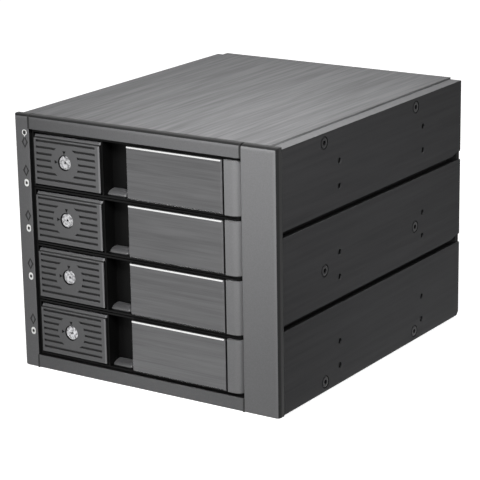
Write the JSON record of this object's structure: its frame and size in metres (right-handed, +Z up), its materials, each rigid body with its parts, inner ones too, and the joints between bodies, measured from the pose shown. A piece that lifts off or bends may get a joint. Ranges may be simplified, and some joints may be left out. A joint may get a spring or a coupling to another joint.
{
  "type": "hot swap drive cage",
  "caption": "Black anodised drive cage with lever-handled, lockable sliding trays, lamp strip in the left post, rear backplane and guarded fan.",
  "frame": {"origin": "centre of the underside of the whole envelope", "axes": "+X to the right seen from the front, +Y to the rear along the trays, +Z up"},
  "size_m": [0.146, 0.2004, 0.1245],
  "materials": {
    "bezel_anodised": "bead-blasted, black anodised, satin",
    "body_anodised": "brushed along the depth, black anodised, satin",
    "black_steel": "black powder coat",
    "guide_moulding": "moulded, fine texture",
    "lamp_prism": "clear smoked moulding",
    "circuit_board": "solder mask",
    "black_screw": "black oxide",
    "fan_moulding": "moulded, glass filled",
    "guard_steel": "nickel plated",
    "connector_black": "moulded",
    "connector_ivory": "moulded",
    "tray_moulding": "moulded, fine texture",
    "button_moulding": "moulded, fine texture",
    "lever_moulding": "black anodised, satin",
    "plate_aluminium": "bead-blasted, dark anodised, diamond-cut edges",
    "zinc_steel": "zinc plated",
    "pin_steel": "drawn",
    "lock_chrome": "polished"
  },
  "bodies": {
    "chassis": {"left_post": "bezel_anodised", "right_post": "bezel_anodised", "top_rail": "bezel_anodised", "bottom_rail": "bezel_anodised", "front_frame": "black_steel", "light_pipes": "lamp_prism", "side_panel_left": "body_anodised", "side_panel_right": "body_anodised", "top_cover": "body_anodised", "bottom_cover": "body_anodised", "guide_left": "guide_moulding", "guide_right": "guide_moulding", "lamp_board": "circuit_board", "side_screws_left": "black_screw", "side_screws_right": "black_screw", "rear_panel": "black_steel", "fan_frame": "fan_moulding", "fan_guard": "guard_steel", "fan_screws": "black_screw", "backplane_board": "circuit_board", "drive_sockets": "connector_black", "data_connectors": "connector_black", "power_connectors": "connector_ivory"},
    "fan_wheel": {"fan_rotor": "fan_moulding"},
    "tray_1": {"tray_front_1": "tray_moulding", "drive_carrier_1": "zinc_steel", "hinge_pin_1": "pin_steel"},
    "handle_1": {"lever_1": "lever_moulding", "lever_plate_1": "plate_aluminium"},
    "button_1": {"latch_button_1": "button_moulding"},
    "lock_1": {"key_lock_1": "lock_chrome"},
    "tray_2": {"tray_front_2": "tray_moulding", "drive_carrier_2": "zinc_steel", "hinge_pin_2": "pin_steel"},
    "handle_2": {"lever_2": "lever_moulding", "lever_plate_2": "plate_aluminium"},
    "button_2": {"latch_button_2": "button_moulding"},
    "lock_2": {"key_lock_2": "lock_chrome"},
    "tray_3": {"tray_front_3": "tray_moulding", "drive_carrier_3": "zinc_steel", "hinge_pin_3": "pin_steel"},
    "handle_3": {"lever_3": "lever_moulding", "lever_plate_3": "plate_aluminium"},
    "button_3": {"latch_button_3": "button_moulding"},
    "lock_3": {"key_lock_3": "lock_chrome"},
    "tray_4": {"tray_front_4": "tray_moulding", "drive_carrier_4": "zinc_steel", "hinge_pin_4": "pin_steel"},
    "handle_4": {"lever_4": "lever_moulding", "lever_plate_4": "plate_aluminium"},
    "button_4": {"latch_button_4": "button_moulding"},
    "lock_4": {"key_lock_4": "lock_chrome"}
  },
  "joints": [
    {"name": "tray_slide_1", "type": "slide", "parent": "chassis", "child": "tray_1", "axis": [0, -1, 0], "range_m": [0, 0.15]},
    {"name": "handle_hinge_1", "type": "hinge", "parent": "tray_1", "child": "handle_1", "pos_m": [0.04878, -0.09555, 0.0207], "axis": [0, 0, 1], "range_deg": [0, 60]},
    {"name": "button_press_1", "type": "slide", "parent": "tray_1", "child": "button_1", "axis": [0, 1, 0], "range_m": [0, 0.002], "stiffness_N_per_m": 400, "springref_m": -0.003},
    {"name": "lock_turn_1", "type": "hinge", "parent": "button_1", "child": "lock_1", "pos_m": [-0.04395, -0.09975, 0.0207], "axis": [0, -1, 0], "range_deg": [0, 90]},
    {"name": "tray_slide_2", "type": "slide", "parent": "chassis", "child": "tray_2", "axis": [0, -1, 0], "range_m": [0, 0.15]},
    {"name": "handle_hinge_2", "type": "hinge", "parent": "tray_2", "child": "handle_2", "pos_m": [0.04878, -0.09555, 0.0484], "axis": [0, 0, 1], "range_deg": [0, 60]},
    {"name": "button_press_2", "type": "slide", "parent": "tray_2", "child": "button_2", "axis": [0, 1, 0], "range_m": [0, 0.002], "stiffness_N_per_m": 400, "springref_m": -0.003},
    {"name": "lock_turn_2", "type": "hinge", "parent": "button_2", "child": "lock_2", "pos_m": [-0.04395, -0.09975, 0.0484], "axis": [0, -1, 0], "range_deg": [0, 90]},
    {"name": "tray_slide_3", "type": "slide", "parent": "chassis", "child": "tray_3", "axis": [0, -1, 0], "range_m": [0, 0.15]},
    {"name": "handle_hinge_3", "type": "hinge", "parent": "tray_3", "child": "handle_3", "pos_m": [0.04878, -0.09555, 0.0761], "axis": [0, 0, 1], "range_deg": [0, 60]},
    {"name": "button_press_3", "type": "slide", "parent": "tray_3", "child": "button_3", "axis": [0, 1, 0], "range_m": [0, 0.002], "stiffness_N_per_m": 400, "springref_m": -0.003},
    {"name": "lock_turn_3", "type": "hinge", "parent": "button_3", "child": "lock_3", "pos_m": [-0.04395, -0.09975, 0.0761], "axis": [0, -1, 0], "range_deg": [0, 90]},
    {"name": "tray_slide_4", "type": "slide", "parent": "chassis", "child": "tray_4", "axis": [0, -1, 0], "range_m": [0, 0.15]},
    {"name": "handle_hinge_4", "type": "hinge", "parent": "tray_4", "child": "handle_4", "pos_m": [0.04878, -0.09555, 0.1038], "axis": [0, 0, 1], "range_deg": [0, 60]},
    {"name": "button_press_4", "type": "slide", "parent": "tray_4", "child": "button_4", "axis": [0, 1, 0], "range_m": [0, 0.002], "stiffness_N_per_m": 400, "springref_m": -0.003},
    {"name": "lock_turn_4", "type": "hinge", "parent": "button_4", "child": "lock_4", "pos_m": [-0.04395, -0.09975, 0.1038], "axis": [0, -1, 0], "range_deg": [0, 90]},
    {"name": "fan_spin", "type": "hinge", "parent": "chassis", "child": "fan_wheel", "pos_m": [-0.022, 0.08505, 0.06225], "axis": [0, 1, 0], "continuous": true}
  ]
}
